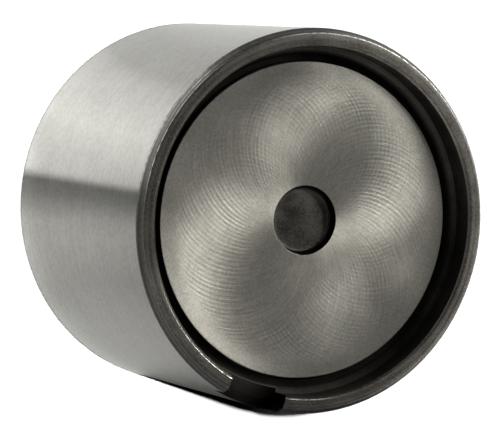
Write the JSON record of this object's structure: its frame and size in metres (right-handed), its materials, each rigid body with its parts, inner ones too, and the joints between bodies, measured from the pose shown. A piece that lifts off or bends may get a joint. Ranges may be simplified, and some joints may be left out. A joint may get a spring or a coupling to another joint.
{
  "type": "valve lifter",
  "caption": "Round steel bucket lifter, open at the skirt, with a shim recess in its head, a ground seat with a centre dimple, and a slot through the rim.",
  "frame": {"origin": "centre of the open end of the skirt, on the plane that the lifter stands on", "axes": "+Z along the barrel's axis towards the closed head with the shim recess; -Y towards the slot in the rim"},
  "size_m": [0.031, 0.031, 0.025],
  "materials": {
    "hardened_steel": "ground on the barrel and the seat, dark heat-treat scale elsewhere"
  },
  "bodies": {
    "root": {"lifter_body": "hardened_steel"}
  },
  "joints": []
}
